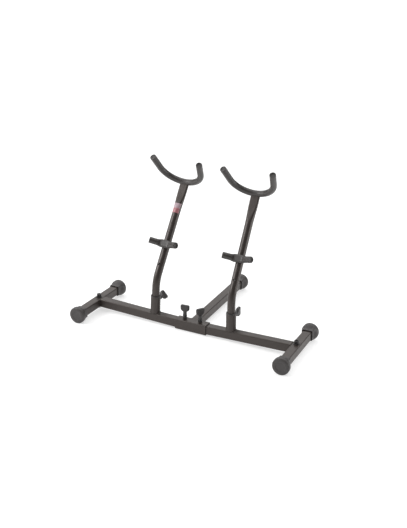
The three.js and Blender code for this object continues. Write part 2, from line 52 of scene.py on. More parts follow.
JOINTS = {joint["name"]: joint for joint in frame["joints"]}
SIDES = ((-1, "left"), (1, "right"))
X, Y, Z = Vector((1, 0, 0)), Vector((0, 1, 0)), Vector((0, 0, 1))

# ------------------------------------------------------------ dimensions, millimetres

GAP = 0.3  # between pieces that lie on each other
TUBE, TUBE_WALL, TUBE_CORNER = 25, 1.5, 3.2
AXIS_Z = 24
TUBE_TOP = AXIS_Z + TUBE / 2
SLEEVE, SLEEVE_WALL, SLEEVE_CORNER = 30, 1.2, 3.4
BEAM_SEAM, REAR_LEG_SEAM = 0.2, 0.6  # from the beam to the leg, from the sleeve to the rear leg
CAP_LENGTH, CAP_FLOOR = 34, 8.7  # the tube's end stands on the floor inside the cap
SOCKET_RADIUS, SOCKET_BORE = 14, 12.8
COLLAR_ABOVE, COLLAR_INSIDE = 2.8, 12  # above the socket's rim, and down inside it
COLLAR_BORE, COLLAR_SLEEVE = 11.3, 12.5  # radii of the part inside the socket
POST_RADIUS = 11
PEG_HOLE = 3.2  # radius
LEAN = math.radians(32.5)
CORNER_Z = 134.9  # where the straight foot and the leaning part of the post would cross
BEND_RADIUS = 85
FORK_AT, PEG_AT, SPARE_AT = 295, 105, 46  # distances up the lean from that corner
HOSE, ROD = 9, 6  # radii
BORE_EASE = 0.25  # between a rod and the hose on it
BLADE_WIDTH, BLADE_THICK = 27, 8
BLADE_LOW, BLADE_BLEND = FORK_AT - HOSE - 80, 60  # the round tube turns into a blade from here
FORK = {"flat": 0, "radius": 65, "bend": math.radians(80), "arm": 46.5}
FORK_FORWARD = math.radians(39.3)
PEG = {"flat": 11.5, "radius": 20, "bend": math.radians(30), "arm": 24}
PEG_FLAT_WIDTH, PEG_FLAT_THICK = 17, 3.4  # the bar's section where it is pressed flat
PEG_FLAT_END, PEG_BLEND = 9.5, 14.5  # it is flat up to here, then turns round over this length
PEG_OFFSET = 16
STUD_LENGTH, STUD_BACK = 30, 17  # the peg's stud, and how far it reaches behind the post's axis
POST_SCREW_Z = 72
POST_PLUG_FLANGE = 8
SWIVEL_HEIGHT = 60
LABEL_DOWN, LABEL_LENGTH = 80.5, 29  # the label's middle, down from the fork
LABEL_HALF_ANGLE, LABEL_LIFT = math.radians(62), 0.12
LEAN_UP = Vector((0, math.sin(LEAN), math.cos(LEAN)))
LEAN_FRONT = Vector((0, -math.cos(LEAN), math.sin(LEAN)))


def on_post(distance, front=0.0):
    """A point that far up the post's lean, and that far in front of its axis."""
    return CORNER_Z * Z + distance * LEAN_UP + front * LEAN_FRONT


# ------------------------------------------------------------ materials

TABLE_GLOW = 0.60  # the stand is on a light table


class Nodes:
    """Short calls for building one material's node tree."""

    def __init__(self, name):
        self.material = bpy.data.materials.new(name)
        self.material.use_nodes = True
        self.tree = self.material.node_tree
        self.shader = self.tree.nodes["Principled BSDF"]

    def add(self, kind, inputs=None, **settings):
        node = self.tree.nodes.new(kind)
        for key, value in settings.items():
            setattr(node, key, value)
        for key, value in (inputs or {}).items():
            self.feed(node.inputs[key], value)
        return node

    def feed(self, socket, value):
        if isinstance(value, bpy.types.NodeSocket):
            self.tree.links.new(value, socket)
        else:
            socket.default_value = value

    def shade(self, **inputs):
        for key, value in inputs.items():
            self.feed(self.shader.inputs[key.replace("_", " ")], value)

    def place(self):
        return self.add("ShaderNodeTexCoord").outputs["Object"]

    def noise(self, scale, detail, rough=0.5):
        inputs = {"Scale": scale, "Detail": detail, "Roughness": rough, "Vector": self.place()}
        return self.add("ShaderNodeTexNoise", inputs).outputs["Fac"]

    def remap(self, value, low, high, to_low, to_high):
        inputs = {"Value": value, "From Min": low, "From Max": high}
        inputs.update({"To Min": to_low, "To Max": to_high})
        return self.add("ShaderNodeMapRange", inputs).outputs["Result"]

    def tint(self, factor, first, second):
        """Mixes two plain colours."""
        return self.blend(factor, (*first, 1), (*second, 1))

    def blend(self, factor, first, second):
        """Mixes two colours, each a value with alpha or a socket."""
        node = self.add("ShaderNodeMix", {0: factor, 6: first, 7: second}, data_type="RGBA")
        return node.outputs[2]

    def bump(self, height, strength, distance, normal=None):
        inputs = {"Height": height, "Strength": strength, "Distance": distance}
        if normal:
            inputs["Normal"] = normal
        return self.add("ShaderNodeBump", inputs).outputs["Normal"]

    def edge_wear_and_highlight(self, radius=0.0007):
        """Rises from 0 on flat faces to 1 on edges, within that radius in metres; it marks real edge wear and a
        painted highlight along the edges.
        """
        soft = self.add("ShaderNodeBevel", {"Radius": radius}, samples=4).outputs["Normal"]
        plain = self.add("ShaderNodeNewGeometry").outputs["Normal"]
        dot = self.add("ShaderNodeVectorMath", {0: soft, 1: plain}, operation="DOT_PRODUCT")
        return self.remap(dot.outputs["Value"], 0.99, 0.86, 0.0, 1.0)


def powder_coat():
    m = Nodes("powder_coat")
    cloud = m.remap(m.noise(14, 4), 0.3, 0.7, 0.0, 1.0)
    colour = m.tint(cloud, (0.0285, 0.0225, 0.0200), (0.0320, 0.0260, 0.0235))
    dust = m.remap(m.noise(1500, 2), 0.70, 0.82, 0.0, 0.06)
    colour = m.blend(dust, colour, (0.08, 0.072, 0.067, 1))
    # lighter in patches along the edges: real edge wear, plus a painted edge highlight
    patches = m.remap(m.noise(160, 3), 0.5, 0.7, 0.0, 0.5)
    wear_and_highlight = m.add("ShaderNodeMath", {0: m.edge_wear_and_highlight(), 1: patches}, operation="MULTIPLY")
    colour = m.blend(wear_and_highlight.outputs[0], colour, (0.16, 0.15, 0.14, 1))
    rough = m.remap(m.noise(55, 5, 0.6), 0.25, 0.75, 0.36, 0.44)
    peel = m.noise(620, 2)
    ripple = m.noise(160, 1)
    normal = m.bump(ripple, 0.08, 0.0004, m.bump(peel, 0.38, 0.0003))
    m.shade(Base_Color=colour, Roughness=rough, Normal=normal)
    m.shade(IOR=1.5, Specular_Tint=(1.0, 0.93, 0.89, 1))
    return m.material


def rubber():
    m = Nodes("rubber")
    cloud = m.remap(m.noise(30, 5, 0.6), 0.3, 0.7, 0.0, 1.0)
    colour = m.tint(cloud, (0.036, 0.032, 0.032), (0.047, 0.042, 0.041))
    scuff = m.remap(m.noise(240, 6, 0.75), 0.62, 0.8, 0.0, 0.3)
    colour = m.blend(scuff, colour, (0.10, 0.092, 0.088, 1))
    rough = m.remap(m.noise(90, 4), 0.25, 0.75, 0.42, 0.58)
    normal = m.bump(m.noise(1400, 2), 0.25, 0.00025, m.bump(m.noise(110, 3), 0.12, 0.0006))
    m.shade(Base_Color=colour, Roughness=rough, Normal=normal)
    return m.material


def hose():
    m = Nodes("hose")
    cloud = m.remap(m.noise(22, 4), 0.3, 0.7, 0.0, 1.0)
    colour = m.tint(cloud, (0.036, 0.032, 0.030), (0.045, 0.040, 0.038))
    rub = m.remap(m.noise(120, 6, 0.7), 0.6, 0.82, 0.0, 0.3)
    colour = m.blend(rub, colour, (0.08, 0.074, 0.07, 1))
    rough = m.remap(m.noise(70, 4), 0.25, 0.75, 0.34, 0.48)
    normal = m.bump(m.noise(700, 3), 0.18, 0.0003, m.bump(m.noise(60, 2), 0.15, 0.0008))
    m.shade(Base_Color=colour, Roughness=rough, Normal=normal)
    return m.material


def black_plastic():
    m = Nodes("black_plastic")
    cloud = m.remap(m.noise(60, 4), 0.3, 0.7, 0.0, 1.0)
    colour = m.tint(cloud, (0.024, 0.022, 0.021), (0.033, 0.030, 0.029))
    # lighter along every edge: real edge wear, plus a painted edge highlight
    worn_and_highlit = m.blend(m.edge_wear_and_highlight(), colour, (0.06, 0.056, 0.053, 1))
    rough = m.remap(m.noise(200, 4), 0.25, 0.75, 0.38, 0.55)
    normal = m.bump(m.noise(2200, 2), 0.3, 0.0002)
    m.shade(Base_Color=worn_and_highlit, Roughness=rough, Normal=normal)
    return m.material


def zinc():
    m = Nodes("zinc")
    cloud = m.remap(m.noise(300, 4), 0.3, 0.7, 0.0, 1.0)
    colour = m.tint(cloud, (0.36, 0.35, 0.33), (0.52, 0.51, 0.49))
    grime = m.remap(m.noise(90, 5, 0.7), 0.5, 0.72, 0.0, 0.5)
    colour = m.blend(grime, colour, (0.16, 0.14, 0.12, 1))
    rough = m.remap(m.noise(500, 3), 0.25, 0.75, 0.28, 0.48)
    m.shade(Base_Color=colour, Roughness=rough, Normal=m.bump(m.noise(1500, 2), 0.15, 0.0002))
    m.shade(Metallic=1.0)
    return m.material


def black_steel():
    m = Nodes("black_steel")
    cloud = m.remap(m.noise(160, 4), 0.3, 0.7, 0.0, 1.0)
    colour = m.tint(cloud, (0.022, 0.021, 0.021), (0.036, 0.034, 0.033))
    # lighter along every edge: real edge wear, plus a painted edge highlight
    worn_and_highlit = m.blend(m.edge_wear_and_highlight(0.0004), colour, (0.09, 0.086, 0.082, 1))
    rough = m.remap(m.noise(400, 3), 0.25, 0.75, 0.32, 0.48)
    m.shade(Base_Color=worn_and_highlit, Roughness=rough, Normal=m.bump(m.noise(1300, 2), 0.2, 0.0002))
    m.shade(Metallic=0.35)
    return m.material


def sticker():
    """A plain two-tone label: pale above, red below, with nothing printed on it."""
    m = Nodes("sticker")
    up_post = m.add("ShaderNodeVectorMath", {0: m.place(), 1: POST_UP}, operation="DOT_PRODUCT")
    soft = 0.0008  # metres
    wobble = m.remap(m.noise(300, 3), 0.0, 1.0, -soft, soft)
    edge = m.add("ShaderNodeMath", {0: up_post.outputs["Value"], 1: wobble}, operation="ADD")
    split = m.remap(edge.outputs[0], LABEL_SPLIT - soft, LABEL_SPLIT + soft, 0.0, 1.0)
    colour = m.tint(split, (0.34, 0.13, 0.145), (0.37, 0.27, 0.30))
    scuff = m.remap(m.noise(500, 5, 0.7), 0.55, 0.75, 0.0, 0.45)
    colour = m.blend(scuff, colour, (0.34, 0.27, 0.28, 1))
    rough = m.remap(m.noise(250, 3), 0.25, 0.75, 0.3, 0.5)
    m.shade(Base_Color=colour, Roughness=rough, Normal=m.bump(m.noise(900, 2), 0.1, 0.0002))
    return m.material


def floor_paper():
    m = Nodes("floor_paper")
    cloud = m.remap(m.noise(3, 3), 0.3, 0.7, 0.0, 1.0)
    colour = m.tint(cloud, (0.49, 0.49, 0.49), (0.51, 0.51, 0.51))
    m.shade(Base_Color=colour, Roughness=m.remap(m.noise(40, 3), 0.2, 0.8, 0.75, 0.9))
    m.shade(Normal=m.bump(m.noise(700, 2), 0.05, 0.0003))
    m.shade(Emission_Color=(1, 1, 1, 1), Emission_Strength=TABLE_GLOW)
    return m.material


# ------------------------------------------------------------ where things are


def half_frame(word):
    """Local millimetres of one base half to metres: origin below its post, Z up the socket."""
    joint = JOINTS[f"{word}_post_swivel"]
    up = Vector(joint["axis"]).normalized()
    right = Y.cross(up)
    matrix = Matrix((right, Y, up)).transposed().to_4x4()
    matrix.translation = Vector(joint["pos_m"]) - SWIVEL_HEIGHT * MM * up
    return matrix @ Matrix.Scale(MM, 4)


def middle(node):
    low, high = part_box(node)
    return (low + high) / 2


def in_half(word, point):
    """A point of the frame, in one half's own millimetres."""
    return HALF[word].inverted() @ point


HALF = {word: half_frame(word) for _, word in SIDES}
sleeve_mid = middle("center_sleeve")
CENTRE = Matrix.Translation(Vector((0, sleeve_mid.y, 0))) @ Matrix.Scale(MM, 4)
POST_UP = (HALF["left"].to_3x3() @ LEAN_UP).normalized()
LABEL_SPLIT = POST_UP.dot(HALF["left"] @ on_post(FORK_AT - LABEL_DOWN))  # between its two bands
MATERIALS = {
    maker.__name__: maker()
    for maker in (powder_coat, rubber, hose, black_plastic, zinc, black_steel, sticker)
}


# ------------------------------------------------------------ mesh helpers


def outline(w, h, r, n):
    """Points round a rectangle of that width and height with corners of radius r."""
    points = []
    for i in range(n):
        angle = (i + 0.5) / n * 2 * math.pi
        c, s = math.cos(angle), math.sin(angle)
        x = math.copysign(w / 2 - r, c) + r * c
        points.append((x, math.copysign(h / 2 - r, s) + r * s))
    return points


def circle(radius, n=48):
    return outline(2 * radius, 2 * radius, radius, n)


def turns(n):
    """Angles of n even steps round a full turn."""
    return [i / n * 2 * math.pi for i in range(n)]


def ring(points, centre, u, v):
    return [centre + a * u + b * v for a, b in points]


def mesh_object(name, bm):
    """Links a new object made from the mesh, which is then freed."""
    bmesh.ops.recalc_face_normals(bm, faces=bm.faces)
    mesh = bpy.data.meshes.new(name)
    bm.to_mesh(mesh)
    bm.free()
    item = bpy.data.objects.new(name, mesh)
    bpy.context.scene.collection.objects.link(item)
    return item


def piece(name, bm, matrix, body, finish, nodes=(), sharp=35):
    """Makes the mesh object, shades it, hangs it on the body it rides on, and hides the CAD parts it stands for.
    """
    item = mesh_object(name, bm)
    mesh = item.data
    mesh.transform(matrix)
    mesh.shade_smooth()
    mesh.set_sharp_from_angle(angle=math.radians(sharp))
    mesh.materials.append(MATERIALS[finish])
    item.modifiers.new("normals", "WEIGHTED_NORMAL").keep_sharp = True
    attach(item, body)
    if nodes:
        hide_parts(*nodes)


def skin(rings, loop=False, bm=None):
    """Closed surface through rings of equal counts; a loop joins the last to the first."""
    bm = bm or bmesh.new()
    rows = [[bm.verts.new(p) for p in r] for r in rings]
    count = len(rows[0])
    followers = rows[1:] + rows[:1] if loop else rows[1:]
    for a, b in zip(rows, followers):
        for i in range(count):
            k = (i + 1) % count
            bm.faces.new((a[i], a[k], b[k], b[i]))
    if not loop:
        bm.faces.new(rows[0])
        bm.faces.new(rows[-1])
    return bm


def along(stations, origin, axis, u, v):
    """One ring for each (distance, outline) station along the axis."""
    return [ring(points, origin + d * axis, u, v) for d, points in stations]


def square_tube(start, axis, length, size, wall, corner):
    """Square tube with rounded corners and broken end edges."""
    u = Z.cross(axis).normalized()
    v = axis.cross(u)
    n, edge = 40, 0.35
    outer = outline(size, size, corner, n)
    eased = outline(size - 2 * edge, size - 2 * edge, corner - edge, n)
    inner = outline(size - 2 * wall, size - 2 * wall, corner - wall / 2, n)
    stations = [(0, inner), (0, eased), (edge, outer)]
    stations += [(length - edge, outer), (length, eased), (length, inner)]
    return skin(along(stations, start, axis, u, v), loop=True)


def turned(profile, origin, axis, u, v, n=48, loop=False, bm=None):
    """Body of revolution from a profile of (distance, radius) points."""
    return skin(along([(d, circle(r, n)) for d, r in profile], origin, axis, u, v), loop, bm)


def weld(path, radius, seed):
    """A weld bead: a lumpy round string laid along a closed path of points."""
    rows = []
    for i, p in enumerate(path):
        t = (path[(i + 1) % len(path)] - path[i - 1]).normalized()
        u = t.cross(Z if abs(t.z) < 0.9 else X).normalized()
        lumps = 0.16 * math.sin(i * 1.9 + seed) + 0.1 * math.sin(i * 0.7 + 2 * seed)
        rows.append(ring(circle(radius * (1 + lumps), 10), p, u, t.cross(u)))
    return skin(rows, loop=True)


def drilled(bm, holes, radius):
    """Cuts round holes, given as (start, end) pairs, with real booleans."""
    target = mesh_object("uncut", bm)
    cutters = []
    for start, end in holes:
        axis = (end - start).normalized()
        u = axis.orthogonal().normalized()
        profile = [(0, radius), ((end - start).length, radius)]
        cutter = mesh_object("cutter", turned(profile, start, axis, u, axis.cross(u), 32))
        hole = target.modifiers.new("hole", "BOOLEAN")
        hole.operation, hole.object, hole.solver = "DIFFERENCE", cutter, "EXACT"
        cutters.append(cutter)
    cut = bmesh.new()
    cut.from_object(target, bpy.context.evaluated_depsgraph_get())
    for item in (target, *cutters):
        mesh = item.data
        bpy.data.objects.remove(item)
        bpy.data.meshes.remove(mesh)
    return cut


def ease(t):
    """Smooth step from 0 to 1."""
    t = min(max(t, 0.0), 1.0)
    return t * t * (3 - 2 * t)


# ------------------------------------------------------------ caps

# (distance from the end face, radius): sunk middle, rim, rounded edge, side
CAP_FOOT = (
    (0.9, 1.5), (0.9, 12.6), (0.75, 13.2), (0.15, 13.8), (0.0, 14.6), (0.0, 18.6), (0.35, 20.6),
    (1.0, 22.2), (1.9, 23.3), (3.0, 23.85), (4.2, 24.0), (9.0, 24.0), (11.2, 24.0), (12.2, 23.8),
)
CAP_FLARE = (12.7, 27.0)  # from the round foot to the square sleeve
CAP_FLARE_RADIUS = 23.6  # where the flare starts
CAP_HALF, CAP_CORNER = 15.5, 5  # half width and corner radius of the square sleeve
# (distance from the end face, half width, corner radius): the sleeve's end, its lip, the bore
CAP_MOUTH = (
    (CAP_LENGTH - 0.8, CAP_HALF, CAP_CORNER), (CAP_LENGTH - 0.2, 15.3, 4.8),
    (CAP_LENGTH, 14.9, 4.5), (CAP_LENGTH, 14.5, 4.2), (CAP_LENGTH - 0.4, 14.2, 4),
    (CAP_LENGTH - 5, 13.6, 3.6), (CAP_LENGTH - 7, 12.75, 3.2), (CAP_FLOOR, 12.75, 3.2),
)


def square_radius(half, corner, angle):
    """Distance from the middle to a rounded square's edge at an angle."""
    turn = abs((angle + math.pi / 4) % (math.pi / 2) - math.pi / 4)
    if half * math.tan(turn) <= half - corner:
        return half / math.cos(turn)
    reach = (half - corner) * math.sqrt(2)  # to the corner arc's centre
    off = math.pi / 4 - turn
    return reach * math.cos(off) + math.sqrt(max(corner**2 - (reach * math.sin(off)) ** 2, 0))


def cap_mesh(slope):
    """Rubber cap on +Y from its end face: lipped round foot, a flare, then a square mouth."""
    angles = turns(144)

    def polar(radii, d, drop):
        return [Vector((r * math.cos(a), d, r * math.sin(a) - drop)) for r, a in zip(radii, angles)]

    rows = [polar([r] * len(angles), d, 0) for d, r in CAP_FOOT]
    low, high = CAP_FLARE
    square = [square_radius(CAP_HALF, CAP_CORNER, a) for a in angles]
    steps = 26
    for i in range(steps + 1):
        d = low + (high - low) * i / steps
        part = ease((d - low) / (high - low)) ** 0.9
        radii = [(1 - part) * CAP_FLARE_RADIUS + part * r for r in square]
        rows.append(polar(radii, d, slope * d * part))
    for d, half, corner in CAP_MOUTH:
        rows.append(polar([square_radius(half, corner, a) for a in angles], d, slope * d))
    return skin(rows)


def cap(name, body, matrix, node, slope=0.0):
    piece(name, cap_mesh(slope), matrix, body, "rubber", [node], sharp=50)


# ------------------------------------------------------------ fittings

M6_NUT = {"across": 10, "height": 8, "chamfer": 0.9, "bore": 3.1}
M8_NUT = {"across": 13, "height": 6.5, "chamfer": 1.0, "bore": 4.1}
SCREW_RADIUS, THREAD_PITCH, THREAD_START, THREAD_END = 3, 1.0, 0.6, 0.2
SCREW_IN_KNOB = 6
KNOB_STANDOFF = 9.2  # from the socket nut's foot to the knob
BASE_TURN = {"left": 0.1, "right": 1.0}  # how far each knob happens to be turned, radians
POST_TURN = {"left": 0.8, "right": math.pi / 2}
# (distance, width, depth, corner radius): collar, neck, shoulders of the wing, rounded top
KNOB_SECTIONS = (
    (0.0, 10.2, 10.2, 5.1), (0.5, 11.8, 11.8, 5.9), (3.6, 11.8, 11.8, 5.9), (4.6, 11.0, 11.0, 5.5),
    (8, 10.7, 10.7, 5.35), (12, 10.6, 10.6, 5.3),
    (13.6, 12.2, 10.6, 5.2), (15, 16.0, 10.6, 5.2), (16.4, 20.4, 10.5, 5.1), (18, 23.8, 10.3, 5.0),
    (20, 25.8, 10.1, 4.9), (23.5, 26.6, 9.9, 4.8), (28, 27.0, 9.5, 4.6), (30.4, 26.4, 8.9, 4.3),
    (31.8, 24.8, 8.0, 3.9), (32.6, 22.2, 6.6, 3.2), (32.9, 20.0, 5.0, 2.4), (33.0, 17.0, 2.8, 1.3),
)
KNOB_DISH = 0.9  # depth of the hollow in each face of the wing
DISH_START, DISH_RISE, DISH_END, DISH_FALL = 20, 5, 32.5, 4
# (distance, radius) profiles; the leg bolt's distances are from the leg's top
WASHER = ((0.3, 4.4), (0.3, 8.1), (0.55, 8.5), (1.6, 8.5), (1.9, 8.1), (1.9, 4.4))
BOLT_HEAD = ((2.2, 4.0), (2.2, 6.1), (2.6, 6.5), (9.0, 6.5), (9.7, 6.3), (10.2, 5.6), (10.2, 3.9),
             (9.6, 3.5), (6.0, 3.4), (5.6, 0.4))
BOLT_SHANK = ((-34.0, 3.4), (-33.6, 4), (2.3, 4))
HOSE_STOPPER = ((0.7, 0.6), (0.6, 3.4), (0.1, 4.6), (0.0, 5.2), (0.3, 5.8), (0.9, 6.0), (4.0, 6.0))
STOPPER_DEPTH = 1.2  # from the hose's lip
WING_NUT_HUB = ((0, 5.0), (0.3, 5.4), (2, 5.4), (4.6, 4.7), (5.8, 4.3), (6.0, 3.9), (6.0, 3.2),
                (5.4, 3.0))
WING_ROOT, WING_WIDEST, WING_TIP = 4.4, 7.8, 1.2  # widths of a wing, from the hub outwards
WING_THICK, WING_CORNER = 1.9, 0.85


def hexagon_nut(origin, axis, u, v, across, height, chamfer, bore):
    """Hex nut with chamfered corners and a countersunk bore."""
    corner = across / 2 / math.cos(math.pi / 6)

    def row(d, limit):
        points = []
        for a in turns(96):
            turn = (a + math.pi / 6) % (math.pi / 3) - math.pi / 6
            reach = min(across / 2 / math.cos(turn), limit)
            points.append(origin + d * axis + reach * (math.cos(a) * u + math.sin(a) * v))
        return points

    bevel, sink = chamfer * 0.6, 0.7
    rows = [row(0, corner - chamfer), row(bevel, corner), row(height - bevel, corner),
            row(height, corner - chamfer), row(height, bore + sink), row(height - sink, bore),
            row(sink, bore), row(0, bore + sink)]
    return skin(rows, loop=True)


def nut_with_weld(name, node, body, matrix, base, axis, u, v, bead_seed):
    """M6 nut, and the bead that holds it to the tube under it."""
    bm = hexagon_nut(base, axis, u, v, **M6_NUT)
    piece(f"{name}_hex", bm, matrix, body, "black_steel", [node], sharp=25)
    lift, reach, bead_radius = 0.25, 5.55, 0.85
    path = [base + lift * axis + reach * (math.cos(t) * u + math.sin(t) * v) for t in turns(34)]
    bead = weld(path, bead_radius, bead_seed)
    piece(f"{name}_weld", bead, matrix, body, "powder_coat", sharp=80)


def screw_mesh(length, origin, axis, u, v):
    """Threaded rod: rings that swell and shrink along the axis."""
    root, crest = SCREW_RADIUS - 0.42, SCREW_RADIUS - 0.02
    profile = [(0, SCREW_RADIUS - 0.6), (0.4, SCREW_RADIUS - 0.35)]
    for i in range(int((length - THREAD_START - THREAD_END) / THREAD_PITCH)):
        base = THREAD_START + i * THREAD_PITCH
        profile += [(base, root), (base + 0.4 * THREAD_PITCH, crest),
                    (base + 0.6 * THREAD_PITCH, crest)]
    profile += [(length, root)]
    return turned(profile, origin, axis, u, v, 24)


def knob_mesh(origin, axis, u, v):
    """Moulded thumb knob: collar, slim neck, and a fan-shaped wing with a hollow in each face."""
    rows = []
    for d, w, h, r in KNOB_SECTIONS:
        dish = KNOB_DISH * ease((d - DISH_START) / DISH_RISE) * ease((DISH_END - d) / DISH_FALL)
        points = []
        for a, b in outline(w, h, r, 72):
            hollow = dish * max(0.0, 1 - (a / (w / 2 + 0.01)) ** 2) ** 0.8
            points.append((a, b - math.copysign(min(hollow, abs(b) * 0.4), b)))
        rows.append(ring(points, origin + d * axis, u, v))
    return skin(rows)


def build_clamp(word, place, foot, knob_at, axis, u):
    """Screw from its foot up into its knob, both turning together."""
    v = axis.cross(u)
    matrix = CENTRE if place == "base" else HALF[word]
    length = (knob_at - foot).dot(axis) + SCREW_IN_KNOB
    piece(f"{word}_{place}_thread", screw_mesh(length, foot, axis, u, v), matrix,
          f"{word}_{place}_clamp", "black_steel", [f"{word}_{place}_screw"], sharp=60)
    piece(f"{word}_{place}_wing", knob_mesh(knob_at, axis, u, v), matrix,
          f"{word}_{place}_clamp", "black_plastic", [f"{word}_{place}_knob"], sharp=50)


# ------------------------------------------------------------ centre frame


def rear_leg_bead_path(height):
    """Closely spaced points round the rear leg, where it meets the sleeve's back."""
    behind, spacing = SLEEVE / 2 + 0.7, 1.1
    around = outline(TUBE + 2 * GAP, TUBE + 2 * GAP, TUBE_CORNER + GAP, 96)
    path = [Vector((a, behind, height + b)) for a, b in around]
    dense = []
    for p, q in zip(path, path[1:] + path[:1]):
        steps = max(1, int((q - p).length / spacing))
        dense += [p.lerp(q, k / steps) for k in range(steps)]
    return dense


def build_centre():
    """Sleeve, and the rear leg that rises from its back to the cap's height."""
    body = "centre_frame"
    low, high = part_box("center_sleeve")
    length, height = (high.x - low.x) / MM, sleeve_mid.z / MM
    start = Vector((-length / 2, 0, height))
    bm = square_tube(start, X, length, SLEEVE, SLEEVE_WALL, SLEEVE_CORNER)
    piece("sleeve_tube", bm, CENTRE, body, "powder_coat", ["center_sleeve"])

    rear_end = (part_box("rear_leg_cap")[1].y - sleeve_mid.y) / MM
    run = rear_end - SLEEVE / 2
    slope = (AXIS_Z - height) / run
    axis = Vector((0, 1, slope)).normalized()
    end = Vector((0, rear_end, AXIS_Z))
    start = end - (run - REAR_LEG_SEAM) * axis
    bm = square_tube(start, axis, run - CAP_FLOOR - GAP, TUBE, TUBE_WALL, TUBE_CORNER)
    piece("rear_leg_tube", bm, CENTRE, body, "powder_coat", ["rear_leg"])
    turn_back = Matrix.Translation(end) @ Matrix.Rotation(math.pi, 4, "Z")
    cap("rear_cap_rubber", body, CENTRE @ turn_back, "rear_leg_cap", slope=slope)
    bead = weld(rear_leg_bead_path(height), radius=1.25, seed=0.4)
    piece("rear_leg_weld", bead, CENTRE, body, "powder_coat", sharp=80)


def build_base_clamp(side, word):
    """Nut welded on the sleeve, with the screw and the knob that clamp the beam."""
    low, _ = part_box(f"{word}_sleeve_nut")
    base = Vector((middle(f"{word}_sleeve_nut").x / MM, 0, low.z / MM))
    nut_with_weld(f"{word}_sleeve_nut", f"{word}_sleeve_nut", "centre_frame", CENTRE, base, Z, X, Y,
                  1.0 + side)
    foot = Vector((base.x, 0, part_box(f"{word}_base_screw")[0].z / MM))
    knob_at = Vector((base.x, 0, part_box(f"{word}_base_knob")[0].z / MM))
    turn = BASE_TURN[word]
    build_clamp(word, "base", foot, knob_at, Z, math.cos(turn) * X + math.sin(turn) * Y)


# ------------------------------------------------------------ the two halves


def build_beam_and_leg(side, word):
    """Beam, cross leg and caps, from the leg bolt's place and the beam's box."""
    matrix, body = HALF[word], f"{word}_half"
    bolt_x = in_half(word, middle(f"{word}_leg_bolt")).x
    beam_low, beam_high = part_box(f"{word}_beam")
    inner = Vector((beam_low.x if side > 0 else beam_high.x, 0, middle(f"{word}_beam").z))
    inner_x = in_half(word, inner).x
    outer_x = bolt_x - side * (TUBE / 2 + BEAM_SEAM)
    start = Vector((min(inner_x, outer_x), 0, AXIS_Z))
    bm = square_tube(start, X, abs(outer_x - inner_x), TUBE, TUBE_WALL, TUBE_CORNER)
    piece(f"{word}_beam_tube", bm, matrix, body, "powder_coat", [f"{word}_beam"])

    reach = (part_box(f"{word}_rear_cap")[1].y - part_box(f"{word}_front_cap")[0].y) / MM / 2
    end = reach - CAP_FLOOR - GAP
    bm = square_tube(Vector((bolt_x, -end, AXIS_Z)), Y, 2 * end, TUBE, TUBE_WALL, TUBE_CORNER)
    piece(f"{word}_leg_tube", bm, matrix, body, "powder_coat", [f"{word}_leg"])
    front = Matrix.Translation(Vector((bolt_x, -reach, AXIS_Z)))
    rear = Matrix.Translation(Vector((bolt_x, reach, AXIS_Z))) @ Matrix.Rotation(math.pi, 4, "Z")
    cap(f"{word}_front_cap_rubber", body, matrix @ front, f"{word}_front_cap")
    cap(f"{word}_rear_cap_rubber", body, matrix @ rear, f"{word}_rear_cap")


def build_leg_bolt(word):
    """Round-headed bolt with a recess, its washer, and the nut under the leg."""
    matrix, body = HALF[word], f"{word}_half"
    bolt_x = in_half(word, middle(f"{word}_leg_bolt")).x
    top = Vector((bolt_x, 0, TUBE_TOP))
    bm = turned(WASHER, top, Z, X, Y, loop=True)
    piece(f"{word}_leg_washer_disc", bm, matrix, body, "black_steel", [f"{word}_leg_washer"],
          sharp=30)
    bm = turned(BOLT_HEAD, top, Z, X, Y)
    turned(BOLT_SHANK, top, Z, X, Y, 32, bm=bm)
    piece(f"{word}_leg_bolt_head", bm, matrix, body, "black_steel", [f"{word}_leg_bolt"], sharp=30)
    nut_low = Vector((bolt_x, 0, AXIS_Z - TUBE / 2 - GAP - M8_NUT["height"]))
    bm = hexagon_nut(nut_low, Z, X, Y, **M8_NUT)
    piece(f"{word}_leg_nut_hex", bm, matrix, body, "zinc", [f"{word}_leg_nut"], sharp=25)


def build_socket(side, word):
    """Socket on the beam, the weld round its foot, and the collar in its mouth."""
    matrix, body = HALF[word], f"{word}_half"
    base = Vector((0, 0, TUBE_TOP + GAP))
    socket, bush_high = middle(f"{word}_socket"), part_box(f"{word}_socket_bush")[1]
    top = in_half(word, Vector((socket.x, socket.y, bush_high.z))).z - base.z
    rim = top - COLLAR_ABOVE
    wall = [(0, SOCKET_BORE), (0, SOCKET_RADIUS - 0.2), (0.3, SOCKET_RADIUS),
            (rim - 0.2, SOCKET_RADIUS), (rim, SOCKET_RADIUS - 0.2), (rim, SOCKET_BORE)]
    bm = turned(wall, base, Z, X, Y, 64, loop=True)
    piece(f"{word}_socket_tube", bm, matrix, body, "powder_coat", [f"{word}_socket"], sharp=40)

    reach, flat_top, lift = SOCKET_RADIUS + 0.6, 12.0, 0.35
    path = []
    for t in turns(88):
        x, y = reach * math.cos(t), reach * math.sin(t)
        path.append(base + Vector((x, max(min(y, flat_top), -flat_top), lift)))
    bead = weld(path, radius=1.15, seed=0.9 * side)
    piece(f"{word}_socket_weld", bead, matrix, body, "powder_coat", sharp=80)

    foot = rim - COLLAR_INSIDE
    collar = [(foot, COLLAR_BORE), (foot, COLLAR_SLEEVE), (rim + 0.1, COLLAR_SLEEVE),
              (rim + 0.1, SOCKET_RADIUS - 0.2), (rim + 0.3, SOCKET_RADIUS),
              (top - 0.9, SOCKET_RADIUS), (top - 0.3, SOCKET_RADIUS - 0.3),
              (top, SOCKET_RADIUS - 0.9), (top, COLLAR_BORE + 0.8),
              (top - 0.5, COLLAR_BORE + 0.3), (top - 1.4, COLLAR_BORE)]
    bm = turned(collar, base, Z, X, Y, 64, loop=True)
    piece(f"{word}_collar", bm, matrix, body, "black_plastic", [f"{word}_socket_bush"], sharp=40)


